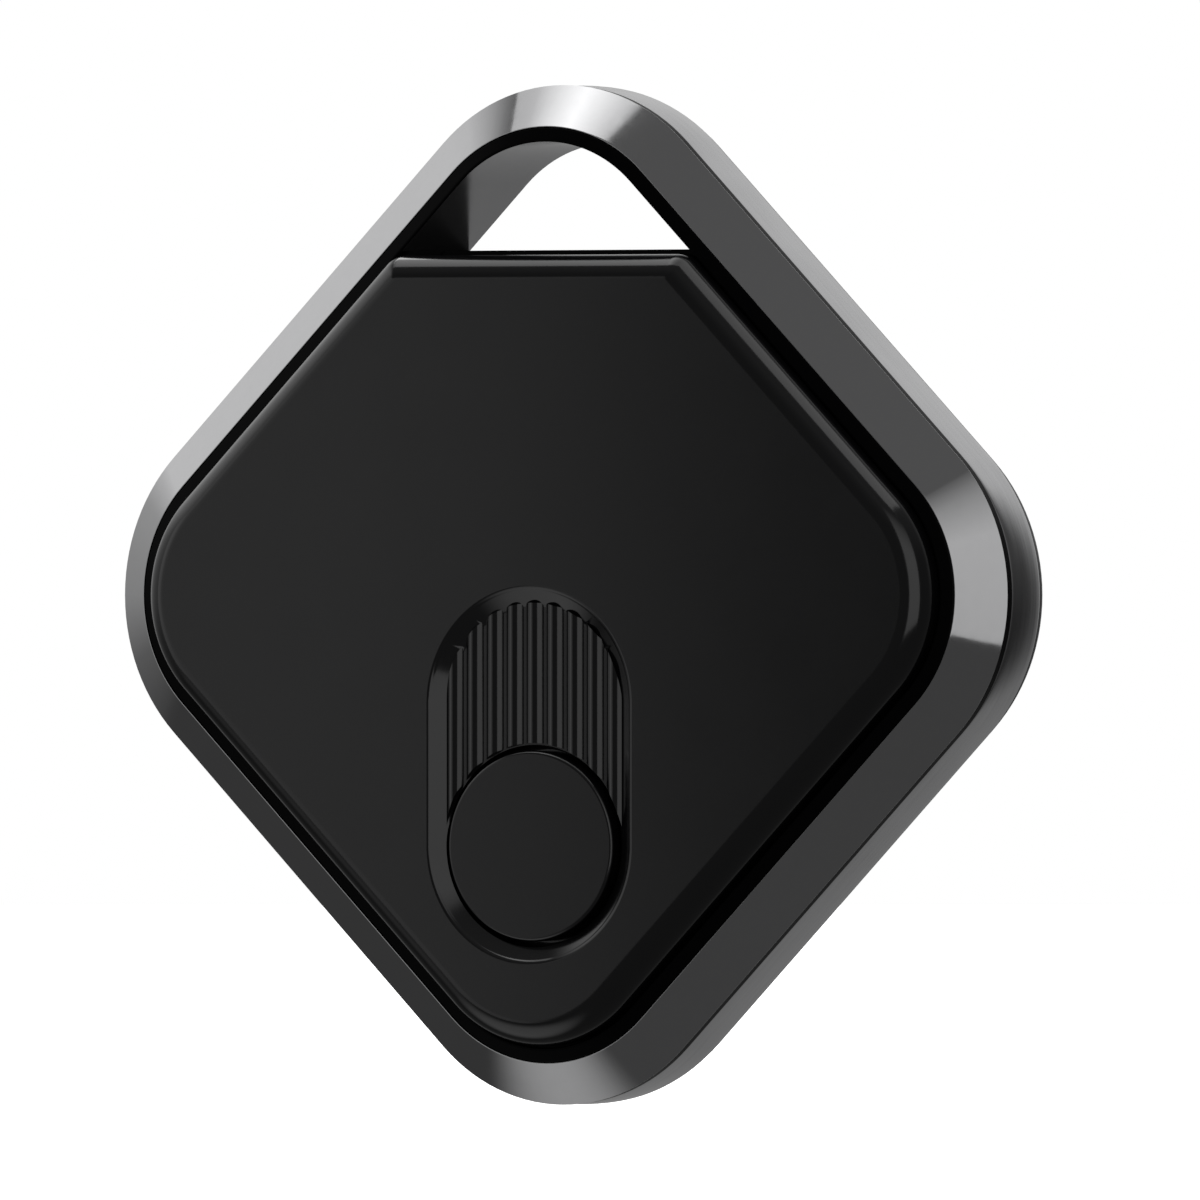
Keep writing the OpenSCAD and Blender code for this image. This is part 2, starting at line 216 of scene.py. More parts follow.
def rounded_square(name, inset, height, facing=1):
    """A flat plate with the tag's outline, left in edit mode, all selected."""
    put_down()
    bpy.ops.mesh.primitive_plane_add(size=2 * (HALF - inset), location=(0, 0, height))
    plate = named(name)
    bpy.ops.object.mode_set(mode="EDIT")
    bpy.ops.mesh.select_mode(type="VERT")
    bpy.ops.mesh.select_all(action="SELECT")
    bpy.ops.transform.rotate(
        value=math.radians(45), orient_axis="Z", center_override=(0, 0, height)
    )
    bpy.ops.mesh.bevel(
        offset=CORNER - inset,
        offset_type="OFFSET",
        affect="VERTICES",
        segments=CORNER_STEPS,
        profile=0.5,
    )
    if facing < 0:
        bpy.ops.mesh.flip_normals()
    choose_all_faces()
    return plate


def disc(name, radius, centre, height, steps=96, facing=1):
    """A flat round plate, left in edit mode, all selected. No corner lies on its x axis."""
    put_down()
    bpy.ops.mesh.primitive_circle_add(
        vertices=steps,
        radius=radius,
        fill_type="NGON",
        location=(centre[0], centre[1], height),
        rotation=(0, 0, math.pi / steps),
    )
    plate = named(name)
    bpy.ops.object.mode_set(mode="EDIT")
    choose_all_faces()
    if facing < 0:
        bpy.ops.mesh.flip_normals()
    return plate


def obround(name, radius, middle, span, height, steps=96, facing=1):
    """A flat plate with round ends, upright from its middle, in edit mode, all selected."""
    plate = disc(name, radius, (0, middle), height, steps, facing)
    choose(plate, "VERT", lambda place: place.y > middle)
    bpy.ops.transform.translate(value=(0, span, 0))
    choose_all_faces()
    return plate


def follow(section, facing=1):
    """Takes the selected flat face through a section's (inset, height) points."""
    bpy.ops.mesh.extrude_region_move(TRANSFORM_OT_translate={"value": (0, 0, 0)})
    for (inset, height), (next_inset, next_height) in zip(section, section[1:]):
        if abs(inset - next_inset) < 1e-6:
            bpy.ops.mesh.extrude_region_move(
                TRANSFORM_OT_translate={"value": (0, 0, next_height - height)}
            )
        else:
            bpy.ops.mesh.inset(
                thickness=next_inset - inset, depth=facing * (next_height - height)
            )


def quarter(inset, height, size, steps):
    """Section points of a quarter round that starts upright and ends flat."""
    points = []
    for step in range(steps + 1):
        angle = math.pi / 2 * step / steps
        points.append(
            (inset + size * (1 - math.cos(angle)), height + size * math.sin(angle))
        )
    return points


def mirrored(points, height):
    """Section points turned over about a height."""
    return [(inset, 2 * height - place) for inset, place in points]


def flare(height, size, steps=4):
    """Section points of a mouth that starts flat at the surface and ends upright."""
    points = []
    for step in range(steps + 1):
        angle = math.pi / 2 * step / steps
        points.append((size * math.sin(angle), height + size * (1 - math.cos(angle))))
    return points


def outward(piece):
    """Turns every face outwards and merges what lies in one place."""
    if bpy.context.object.mode != "EDIT":
        take(piece)
        bpy.ops.object.mode_set(mode="EDIT")
    bpy.ops.mesh.select_all(action="SELECT")
    bpy.ops.mesh.remove_doubles(threshold=MERGE)
    bpy.ops.mesh.normals_make_consistent(inside=False)
    bpy.ops.object.mode_set(mode="OBJECT")


def open_middle(piece, height):
    """Takes out the flat faces in the middle of a swept ring."""
    choose(
        piece,
        "FACE",
        lambda centre, normal: abs(centre.z - height) < LEVEL
        and abs(normal.z) > 0.9
        and math.hypot(centre.x, centre.y) < 0.5,
    )
    bpy.ops.mesh.delete(type="FACE")


def close_ring(piece, height):
    """Opens a swept ring's middle and joins its first and last outlines."""
    open_middle(piece, height)
    choose(
        piece,
        "EDGE",
        lambda a, b: abs(a.z - height) < LEVEL and abs(b.z - height) < LEVEL,
    )
    bpy.ops.mesh.remove_doubles(threshold=MERGE)
    bpy.ops.mesh.bridge_edge_loops()
    outward(piece)


def upright(tool, section, facing=1):
    """Raises a selected plate into a solid along a section and closes it."""
    follow(section, facing)
    outward(tool)
    return tool


def combine(piece, tool, operation, overlapping=False):
    """Cuts, joins or clips a piece with another, which is used up."""
    take(piece)
    modifier = piece.modifiers.new(operation.lower(), "BOOLEAN")
    modifier.operation = operation
    modifier.solver = "EXACT"
    modifier.use_self = overlapping
    modifier.object = tool
    bpy.ops.object.modifier_apply(modifier=modifier.name)
    bpy.data.objects.remove(tool)


def cut_from_back(piece, tool, mouth, depth):
    """Sinks a selected plate into the back, with a small flare at its mouth."""
    section = [(0, CLEAR_BACK)] + flare(BACK, mouth) + [(mouth, depth)]
    combine(piece, upright(tool, section), "DIFFERENCE")


def settle(piece, body, slot, *replaced):
    """Smooths a finished piece, stands it up in the frame and hangs it on its body."""
    outward(piece)
    take(piece)
    bpy.ops.object.shade_smooth_by_angle(angle=math.radians(35))
    modifier = piece.modifiers.new("even normals", "WEIGHTED_NORMAL")
    modifier.keep_sharp = True
    modifier.weight = 80
    bpy.ops.object.modifier_apply(modifier=modifier.name)
    piece.matrix_world = STAND_UP
    bpy.ops.object.transform_apply(location=True, rotation=True, scale=True)
    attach(piece, body)
    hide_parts(*replaced)
    return piece


# ---------------------------------------------------------------- pieces
def make_bezel():
    bezel = rounded_square("bezel_ring", 0, STRIP_TOP)
    follow(
        [
            (0.0, STRIP_TOP),
            (0.0, CHAMFER_FOOT),
            (BEZEL - 0.07, BEZEL_RISE - 0.03),
            (BEZEL - 0.03, BEZEL_RISE),
            (BEZEL, BEZEL_RISE),
            (BEZEL, STRIP_TOP),
        ]
    )
    close_ring(bezel, STRIP_TOP)
    return settle(bezel, "case", "front_bezel", "front_bezel")


def make_side_band():
    """The band's front half is made and mirrored about its middle, which is its widest."""
    middle = (SIDE_BACK + SEAM_BACK) / 2
    side = rounded_square("side_band_ring", 0, middle)
    follow(
        [
            (0, middle),
            (0.006, middle + 0.4),
            (0.02, middle + 0.8),
            (0.05, SEAM_BACK - 0.2),
            (0.08, SEAM_BACK - 0.07),
            (0.11, SEAM_BACK - 0.02),
            (0.16, SEAM_BACK),
            (SIDE_THICKNESS, SEAM_BACK),
            (SIDE_THICKNESS, middle),
        ]
    )
    open_middle(side, middle)
    outward(side)
    take(side)
    bpy.context.scene.cursor.location = (0, 0, middle)
    bpy.ops.object.origin_set(type="ORIGIN_CURSOR")
    modifier = side.modifiers.new("back half", "MIRROR")
    modifier.use_axis = (False, False, True)
    modifier.use_mirror_merge = True
    bpy.ops.object.modifier_apply(modifier=modifier.name)
    bpy.ops.object.transform_apply(location=True, rotation=True, scale=True)
    return settle(side, "case", "side_band", "side_band")


def upper_part(height):
    """Keeps what lies above a line across the selected plate."""
    bpy.ops.mesh.bisect(
        plane_co=(0, height, 0), plane_no=(0, 1, 0), clear_inner=True, use_fill=False
    )
    choose_all_faces()


def make_chassis():
    """The rim ring with its ledge, then the loop's lining and the wall below the loop."""
    strip_back = SEAM_BACK + 0.02
    strip_front = STRIP_TOP - 0.005
    chassis = rounded_square("chassis_moulding", STRIP_INSET, strip_back)
    follow(
        [
            (STRIP_INSET, strip_back),
            (STRIP_INSET, strip_front),
            (LINING_INSET, strip_front),
            (LINING_INSET, 1.68),
            (2.0, 1.73),
            (RIM_INSET - 0.14, 1.87),
            (RIM_INSET - 0.05, 1.86),
            (RIM_INSET, 1.8),
            (RIM_INSET, LEDGE_TOP),
            (LEDGE_INSET, LEDGE_TOP),
            (LEDGE_INSET, LEDGE_UNDER),
            (LEDGE_INSET + 0.01, strip_back),
        ]
    )
    close_ring(chassis, strip_back)

    skirt = rounded_square("chassis_skirt", SKIRT_INSET, SIDE_BACK)
    follow(
        [
            (SKIRT_INSET, SIDE_BACK),
            (SKIRT_INSET, SKIRT_TOP),
            (RIM_INSET + 0.2, SKIRT_TOP),
            (RIM_INSET + 0.21, SIDE_BACK),
        ]
    )
    close_ring(skirt, SIDE_BACK)
    combine(chassis, skirt, "UNION")

    lining = rounded_square("loop_lining", LINING_INSET, BACK)
    upper_part(LOOP_WALL_FOOT)
    combine(chassis, upright(lining, [(0, BACK), (0, -0.2)]), "UNION")

    wall_back = BACK + 0.1
    wall = rounded_square("loop_wall", 2.3, wall_back)
    upper_part(LOOP_WALL_FOOT)
    combine(chassis, upright(wall, [(0, wall_back), (0, 1.45)]), "UNION")

    hole = rounded_square("loop_hole", RIM_INSET - 0.07, CLEAR_BACK)
    upper_part(LOOP_WALL_TOP)
    cut_from_back(chassis, hole, 0.06, CLEAR_FRONT)
    return settle(chassis, "case", "inner_chassis", "inner_chassis")


def round_corner(plate, test, radius, turn=45):
    """Rounds corners of a flat plate by cutting them back evenly three times."""
    for step in range(3):
        half = math.radians(turn / 2 ** (step + 1))
        choose(plate, "VERT", test)
        bpy.ops.mesh.bevel(
            offset=radius * (math.tan(half) - math.tan(half / 2)),
            offset_type="OFFSET",
            affect="VERTICES",
            segments=1,
        )
    choose_all_faces()


def make_cover():
    cover = rounded_square("cover_plate", COVER_INSET, COVER_BACK)
    bpy.ops.mesh.bisect(plane_co=(0, COVER_EDGE, 0), plane_no=(0, 1, 0), clear_outer=True)
    round_corner(
        cover,
        lambda place: place.y > COVER_EDGE - 0.45 and abs(place.x) > 5,
        COVER_CORNER,
    )
    round_top = quarter(0, FACE - COVER_BORDER, COVER_BORDER, 12)
    follow([(0, COVER_BACK)] + round_top)
    choose(cover, "FACE", lambda centre, normal: normal.z < -0.9)
    follow([(0, COVER_BACK), (COVER_WALL, COVER_BACK), (COVER_WALL, COVER_INSIDE)], -1)
    outward(cover)

    boss = obround("recess_boss", BOSS_RADIUS, BUTTON_Y, RECESS_SPAN, BOSS_BACK)
    combine(cover, upright(boss, [(0, BOSS_BACK), (0, 2.3)]), "UNION")
    recess = obround(
        "recess_tool", RECESS_RADIUS, BUTTON_Y, RECESS_SPAN, CLEAR_FRONT, facing=-1
    )
    wall = [(0, CLEAR_FRONT)] + RECESS_MOUTH + RECESS_FOOT
    combine(cover, upright(recess, wall, -1), "DIFFERENCE")
    for name, radius, foot in (
        ("moat_tool", MOAT_RADIUS, MOAT_FLOOR),
        ("guide_tool", GUIDE_RADIUS, 1.0),
    ):
        tool = disc(name, radius, (0, BUTTON_Y), foot)
        combine(cover, upright(tool, [(0, foot), (0, CLEAR_FRONT)]), "DIFFERENCE")
    combine(cover, make_grip(), "UNION")
    return settle(cover, "case", "front_cover", "front_cover")


def make_grip():
    """Upright ribs on the recess floor, clipped to the floor and the button's moat."""
    put_down()
    bpy.ops.mesh.primitive_cylinder_add(
        vertices=64,
        radius=RIB_RADIUS,
        depth=RECESS_SPAN + 12,
        location=(-RIB_PITCH * (RIB_COUNT - 1) / 2, BUTTON_Y + 6, FLOOR - RIB_SINK),
        rotation=(math.pi / 2, 0, 0),
    )
    ribs = named("grip_ribs")
    bpy.ops.object.mode_set(mode="EDIT")
    bpy.ops.mesh.select_all(action="SELECT")
    for _ in range(RIB_COUNT - 1):
        bpy.ops.mesh.duplicate_move(
            TRANSFORM_OT_translate={"value": (RIB_PITCH, 0, 0)}
        )
    outward(ribs)
    clip_back = FLOOR - 0.25
    clip = obround("grip_clip", RIB_REACH, BUTTON_Y, RECESS_SPAN, clip_back)
    upright(clip, [(0, clip_back), (0, FLOOR + 0.6)])
    moat = disc("grip_moat", MOAT_RADIUS + 0.08, (0, BUTTON_Y), FLOOR - 1)
    combine(clip, upright(moat, [(0, FLOOR - 1), (0, FLOOR + 1)]), "DIFFERENCE")
    combine(ribs, clip, "INTERSECT", overlapping=True)
    return ribs


def make_button():
    """The cap on its flange, hollow behind."""
    button = disc("button_cap", BUTTON_FLANGE, (0, BUTTON_Y), BUTTON_BACK, 128)
    flange = BUTTON_BACK + 0.4
    rim = quarter(BUTTON_STEP, BUTTON_TOP - BUTTON_ROUND, BUTTON_ROUND, 6)
    follow([(0, BUTTON_BACK), (0, flange), (BUTTON_STEP, flange)] + rim)
    choose(button, "FACE", lambda centre, normal: normal.z < -0.9)
    follow([(0, BUTTON_BACK), (1.59, BUTTON_BACK), (1.59, 2.1)], -1)
    outward(button)
    return settle(button, "button", "function_button", "function_button")


def make_rear_cover():
    front = SIDE_BACK - REAR_SLIP
    rear = rounded_square("rear_shell", REAR_STEP, front, -1)
    follow(mirrored(quarter(REAR_STEP, front, front - BACK, 10), front), -1)
    outward(rear)
    choose(rear, "FACE", lambda centre, normal: normal.z > 0.9)
    follow([(0, front), (REAR_WALL, front), (REAR_WALL, REAR_INSIDE)])
    outward(rear)

    seat_back = BACK + 0.3
    seat = disc("door_seat", SEAT_RADIUS, (0, 0), seat_back, 128)
    combine(rear, upright(seat, [(0, seat_back), (0, SEAT_INSIDE)]), "UNION")
    hole = rounded_square("rear_loop_tool", BEZEL, CLEAR_BACK)
    upper_part(LOOP_WALL_FOOT - 0.05)
    combine(rear, upright(hole, [(0, CLEAR_BACK), (0, -2)]), "DIFFERENCE")
    opening = disc("door_opening", DOOR_RADIUS + DOOR_GAP, (0, 0), CLEAR_BACK, 160)
    cut_from_back(rear, opening, 0.1, DOOR_SEAT)
    lip = disc("door_lip", LIP_RADIUS, (0, 0), CLEAR_BACK, 160)
    combine(rear, upright(lip, [(0, CLEAR_BACK), (0, -2)]), "DIFFERENCE")
    for angle in (90, 60):
        mark(rear, DOOR_RADIUS + 0.45, angle)
    return settle(rear, "case", "rear_cover", "rear_cover")


def mark(piece, distance, angle):
    """A small round dimple in the back."""
    place = (
        distance * math.cos(math.radians(angle)),
        distance * math.sin(math.radians(angle)),
    )
    tool = disc("dimple_tool", 0.3, place, CLEAR_BACK, 24)
    cut_from_back(piece, tool, 0.06, BACK + 0.2)


def make_door():
    """The disc with its coin slot, and inside it the ring that carries the lugs."""
    under = BACK + DOOR_PLATE
    round_start = BACK + DOOR_ROUND
    # The disc starts at its inner side, so that every step of its section goes inwards
    door = disc("door_disc", DOOR_RADIUS, (0, 0), under, 160, -1)
    back_edge = mirrored(quarter(0, round_start, DOOR_ROUND, 4), round_start)
    follow([(0, under)] + back_edge, -1)
    outward(door)
    choose(door, "FACE", lambda centre, normal: normal.z > 0.9)
    follow(
        [
            (0, under),
            (DOOR_WALL_INSET, under),
            (DOOR_WALL_INSET, DOOR_INSIDE),
            (DOOR_WALL_INSET + DOOR_WALL, DOOR_INSIDE),
            (DOOR_WALL_INSET + DOOR_WALL, BACK + 0.8),
        ]
    )
    outward(door)
    for turn in (90, 210, 330):
        combine(door, make_lug(turn), "UNION")
    coin = obround("coin_slot_tool", 1.0, -COIN_SLOT / 2, COIN_SLOT, CLEAR_BACK, 48)
    cut_from_back(door, coin, 0.1, BACK + 0.4)
    mark(door, DOOR_RADIUS - 0.9, 90)
    return settle(door, "door", "battery_door", "battery_door")


def make_lug(turn):
    """One bayonet lug: an upright plate spun through the lug's angle."""
    put_down()
    bpy.ops.mesh.primitive_plane_add(
        size=1, location=(12.25, 0, -2.925), rotation=(math.pi / 2, 0, 0)
    )
    lug = bpy.context.object
    lug.scale = (1.2, 0.45, 1)
    lug = named("door_lug")
    bpy.ops.object.mode_set(mode="EDIT")
    bpy.ops.mesh.select_all(action="SELECT")
    bpy.ops.transform.rotate(
        value=math.radians(turn - 10), orient_axis="Z", center_override=(0, 0, 0)
    )
    bpy.ops.mesh.spin(
        steps=8, angle=math.radians(20), center=(0, 0, 0), axis=(0, 0, 1)
    )
    outward(lug)
    return lug


pieces = {
    "bezel": make_bezel(),
    "side": make_side_band(),
    "chassis": make_chassis(),
    "cover": make_cover(),
    "button": make_button(),
    "rear": make_rear_cover(),
    "door": make_door(),
}

# ---------------------------------------------------------------- finishes
def finish(
    name,
    colour,
    worn,
    roughness,
    metallic=0.0,
    ior=1.5,
    specular=0.5,
    grain=6.0,
    relief=0.003,
    stretch=(1, 1, 1),
    clouds=0.25,
    spread=0.06,
):
    """A finish with a fine grain and cloudy rubbed places, in millimetres."""
    made = bpy.data.materials.new(name)
    made.use_nodes = True
    nodes, links = made.node_tree.nodes, made.node_tree.links
    shader = nodes["Principled BSDF"]
    shader.inputs["Metallic"].default_value = metallic
    shader.inputs["IOR"].default_value = ior
    shader.inputs["Specular IOR Level"].default_value = specular

    place = nodes.new("ShaderNodeTexCoord")
    scaled = nodes.new("ShaderNodeMapping")
    scaled.inputs["Scale"].default_value = [part / MM for part in stretch]
    links.new(place.outputs["Object"], scaled.inputs["Vector"])
    fine = nodes.new("ShaderNodeTexNoise")
    fine.inputs["Scale"].default_value = grain
    fine.inputs["Detail"].default_value = 3
    links.new(scaled.outputs["Vector"], fine.inputs["Vector"])

    evenly = nodes.new("ShaderNodeMapping")
    evenly.inputs["Scale"].default_value = (1 / MM, 1 / MM, 1 / MM)
    links.new(place.outputs["Object"], evenly.inputs["Vector"])
    rubbed = nodes.new("ShaderNodeTexNoise")
    rubbed.inputs["Scale"].default_value = clouds
    rubbed.inputs["Detail"].default_value = 4
    rubbed.inputs["Roughness"].default_value = 0.6
    links.new(evenly.outputs["Vector"], rubbed.inputs["Vector"])

    both = nodes.new("ShaderNodeMath")
    both.operation = "MULTIPLY_ADD"
    both.inputs[1].default_value = 0.5
    links.new(fine.outputs["Fac"], both.inputs[0])
    half = nodes.new("ShaderNodeMath")
    half.operation = "MULTIPLY"
    half.inputs[1].default_value = 0.5
    links.new(rubbed.outputs["Fac"], half.inputs[0])
    links.new(half.outputs["Value"], both.inputs[2])

    tint = nodes.new("ShaderNodeMix")
    tint.data_type = "RGBA"
    tint.inputs["A"].default_value = (*colour, 1)
    tint.inputs["B"].default_value = (*worn, 1)
    links.new(both.outputs["Value"], tint.inputs["Factor"])
    links.new(tint.outputs["Result"], shader.inputs["Base Color"])

    sheen = nodes.new("ShaderNodeMapRange")
    sheen.inputs["From Min"].default_value = 0.3
    sheen.inputs["From Max"].default_value = 0.7
    sheen.inputs["To Min"].default_value = max(roughness - spread, 0.02)
    sheen.inputs["To Max"].default_value = roughness + spread
    links.new(both.outputs["Value"], sheen.inputs["Value"])
    links.new(sheen.outputs["Result"], shader.inputs["Roughness"])

    bump = nodes.new("ShaderNodeBump")
    bump.inputs["Strength"].default_value = 0.5
    bump.inputs["Distance"].default_value = relief * MM
    links.new(fine.outputs["Fac"], bump.inputs["Height"])
    links.new(bump.outputs["Normal"], shader.inputs["Normal"])
    return made


def dress(piece, made):
    """Gives a whole piece one finish."""
    piece.data.materials.clear()
    piece.data.materials.append(made)


smoked_chrome = finish(
    "smoked_chrome", (0.43, 0.43, 0.435), (0.4, 0.4, 0.405), 0.075, 1.0,
    grain=2.0, relief=0.0004, spread=0.02,
)
brushed_side = finish(
    "brushed_side", (0.47, 0.47, 0.475), (0.33, 0.33, 0.335), 0.16, 1.0,
    grain=5.0, relief=0.0035, stretch=(0.05, 1.2, 0.05), spread=0.07,
)
rim_black = finish(
    "rim_black", (0.0012, 0.0012, 0.0014), (0.002, 0.002, 0.0022), 0.3,
    specular=0.04, grain=9.0, relief=0.001,
)
loop_lining_metal = finish(
    "loop_lining_metal", (0.36, 0.36, 0.365), (0.3, 0.3, 0.305), 0.13, 0.9,
    grain=4.0, relief=0.0006, spread=0.03,
)
cover_satin = finish(
    "cover_satin", (0.003, 0.003, 0.0034), (0.005, 0.005, 0.0055), 0.13,
    ior=1.55, grain=14.0, relief=0.0005, spread=0.015,
)
button_satin = finish(
    "button_satin", (0.003, 0.003, 0.0034), (0.0055, 0.0055, 0.006), 0.14,
    ior=1.55, grain=12.0, relief=0.0006, spread=0.015,
)
rear_eggshell = finish(
    "rear_eggshell", (0.016, 0.016, 0.017), (0.024, 0.024, 0.025), 0.46,
    grain=5.0, relief=0.006, spread=0.05,
)
door_eggshell = finish(
    "door_eggshell", (0.018, 0.018, 0.019), (0.027, 0.027, 0.028), 0.42,
    grain=5.0, relief=0.006, spread=0.05,
)
for piece, made in (
    ("bezel", smoked_chrome),
    ("side", brushed_side),
    ("chassis", rim_black),
    ("cover", cover_satin),
    ("button", button_satin),
    ("rear", rear_eggshell),
    ("door", door_eggshell),
):
    dress(pieces[piece], made)


def line_the_loop(chassis):
    """The inside of the loop is polished; the rim around it stays dull."""
    chassis.data.materials.append(loop_lining_metal)
    chassis.active_material_index = 1
    take(chassis)
    loop_middle = Vector((0, 0, CENTRE_Z + LOOP_MIDDLE * MM))
    choose(
        chassis,
        "FACE",
        lambda spot, normal: spot.z > loop_middle.z
        and abs(normal.y) < 0.3
        and normal.dot(loop_middle - Vector((spot.x, 0, spot.z))) > 0,
    )
    bpy.ops.object.material_slot_assign()
    bpy.ops.object.mode_set(mode="OBJECT")


def paint_moat_shade(cover):
    """Painted shade: the gap round the button is given the dull black rim finish where shade
    falls.
    """
    cover.data.materials.append(rim_black)
    cover.active_material_index = 1
    take(cover)
    axis = Vector((0, 0, CENTRE_Z + BUTTON_Y * MM))
    under_floor = PARTING_Y - (FLOOR - 0.02) * MM
    choose(
        cover,
        "FACE",
        lambda spot, normal: spot.y > under_floor
        and (Vector((spot.x, 0, spot.z)) - axis).length < (MOAT_RADIUS + 0.06) * MM,
    )
    bpy.ops.object.material_slot_assign()
    bpy.ops.object.mode_set(mode="OBJECT")


line_the_loop(pieces["chassis"])
# Painted shade: the walls of the moat round the button are coloured black
paint_moat_shade(pieces["cover"])

INNER_FINISHES = {
    "cover_seal": ("clear_adhesive", (0.35, 0.33, 0.28), (0.28, 0.26, 0.2), 0.5),
    "button_pad": ("silicone_pad", (0.32, 0.33, 0.34), (0.25, 0.26, 0.27), 0.55),
    "switch_body": ("pressed_steel", (0.6, 0.6, 0.58), (0.5, 0.5, 0.48), 0.3, 1.0),
    "switch_plunger": ("black_nylon", (0.02, 0.02, 0.02), (0.03, 0.03, 0.03), 0.5),
    "radio_chip": ("chip_epoxy", (0.015, 0.015, 0.016), (0.03, 0.03, 0.031), 0.6),
    "crystal": ("crystal_can", (0.68, 0.66, 0.6), (0.55, 0.53, 0.47), 0.25, 1.0),
    "chip_antenna": ("antenna_ceramic", (0.75, 0.74, 0.7), (0.66, 0.64, 0.6), 0.4),
    "boost_inductor": ("ferrite", (0.05, 0.05, 0.055), (0.09, 0.09, 0.09), 0.55),
    "capacitors": ("capacitor_ceramic", (0.36, 0.24, 0.15), (0.27, 0.17, 0.1), 0.45),
    "buzzer_plate": ("brass_plate", (0.78, 0.6, 0.28), (0.64, 0.46, 0.2), 0.3, 1.0),
    "buzzer_ceramic": ("fired_ceramic", (0.82, 0.8, 0.72), (0.7, 0.68, 0.6), 0.5),
    "buzzer_gasket": ("foam_gasket", (0.03, 0.03, 0.032), (0.05, 0.05, 0.052), 0.9),
    "buzzer_springs": ("gold_plating", (0.9, 0.68, 0.28), (0.76, 0.54, 0.2), 0.22, 1.0),
    "cell_can": ("rolled_steel", (0.62, 0.62, 0.6), (0.5, 0.5, 0.48), 0.28, 1.0),
    "cell_lid": ("stamped_steel", (0.66, 0.66, 0.64), (0.54, 0.54, 0.52), 0.3, 1.0),
    "cell_gasket": ("nylon_ring", (0.7, 0.72, 0.74), (0.6, 0.62, 0.64), 0.5),
    "cell_core": ("cell_fill", (0.12, 0.12, 0.13), (0.2, 0.2, 0.21), 0.8),
    "battery_holder": ("holder_nylon", (0.05, 0.05, 0.052), (0.08, 0.08, 0.083), 0.5),
    "positive_contact": ("nickel_contact", (0.7, 0.66, 0.58), (0.58, 0.54, 0.46), 0.25, 1.0),
    "negative_contact": ("nickel_spring", (0.7, 0.66, 0.58), (0.58, 0.54, 0.46), 0.27, 1.0),
    "board_screws": ("zinc_screws", (0.55, 0.55, 0.56), (0.42, 0.42, 0.43), 0.32, 1.0),
    "rear_seal": ("rear_adhesive", (0.3, 0.29, 0.26), (0.22, 0.21, 0.18), 0.5),
    "door_seal": ("silicone_ring", (0.12, 0.12, 0.125), (0.17, 0.17, 0.175), 0.5),
}
for node, settings in INNER_FINISHES.items():
    dress(bpy.data.objects[node], finish(*settings))


def board_finish():
    """Green solder mask over squared-off copper tracks."""
    made = finish("solder_mask", (0.01, 0.09, 0.04), (0.012, 0.11, 0.05), 0.32)
    nodes, links = made.node_tree.nodes, made.node_tree.links
    shader = nodes["Principled BSDF"]
    place = nodes["Texture Coordinate"]
    scaled = nodes.new("ShaderNodeMapping")
    scaled.inputs["Scale"].default_value = (1 / MM, 0, 1 / MM)
    links.new(place.outputs["Object"], scaled.inputs["Vector"])
    tracks = nodes.new("ShaderNodeTexVoronoi")
    tracks.distance = "CHEBYCHEV"
    tracks.inputs["Scale"].default_value = 0.9
    links.new(scaled.outputs["Vector"], tracks.inputs["Vector"])
    edge = nodes.new("ShaderNodeMapRange")
    edge.inputs["From Min"].default_value = 0.3
    edge.inputs["From Max"].default_value = 0.34
    links.new(tracks.outputs["Distance"], edge.inputs["Value"])
    under = shader.inputs["Base Color"].links[0].from_socket
    over = nodes.new("ShaderNodeMix")
    over.data_type = "RGBA"
    over.inputs["B"].default_value = (0.03, 0.2, 0.08, 1)
    links.new(edge.outputs["Result"], over.inputs["Factor"])
    links.new(under, over.inputs["A"])
    links.new(over.outputs["Result"], shader.inputs["Base Color"])
    return made


dress(bpy.data.objects["main_board"], board_finish())

# ---------------------------------------------------------------- studio
def aim(thing, target):
    """Turns a light or the camera towards a point."""
    thing.rotation_euler = (target - thing.location).to_track_quat("-Z", "Y").to_euler()


centre = Vector((0, PARTING_Y, CENTRE_Z))


def softbox(name, offset, width, height, profile, along):
    """A rectangular light whose strength follows a profile along its X or Y.

    One with a profile along X hangs level above the tag, and one along Y stands upright
    and faces the tag's axis.
    """
    data = bpy.data.lights.new(name, "AREA")
    data.shape = "RECTANGLE"
    data.size, data.size_y = width, height
    peak = max(strength for _, strength in profile)
    data.energy = peak * math.pi * width * height
    box = bpy.data.objects.new(name, data)
    bpy.context.scene.collection.objects.link(box)
    box.location = centre + Vector(offset)
    if along == "Y":
        aim(box, box.location - Vector(offset[:2]).to_3d())
    box.visible_camera = False
    data.use_nodes = True
    nodes, links = data.node_tree.nodes, data.node_tree.links
    place = nodes.new("ShaderNodeNewGeometry")
    split = nodes.new("ShaderNodeSeparateXYZ")
    links.new(place.outputs["Parametric"], split.inputs["Vector"])
    ramp = profile_ramp(nodes, [(at, strength / peak) for at, strength in profile])
    links.new(split.outputs[along], ramp.inputs["Fac"])
    links.new(ramp.outputs["Color"], nodes["Emission"].inputs["Strength"])


def profile_ramp(nodes, profile):
    """A colour ramp used as a curve of brightness."""
    ramp = nodes.new("ShaderNodeValToRGB")
    stops = ramp.color_ramp.elements
    while len(stops) < len(profile):
        stops.new(0.5)
    for stop, (at, value) in zip(stops, profile):
        stop.position = at
        stop.color = (value, value, value, 1)
    return ramp


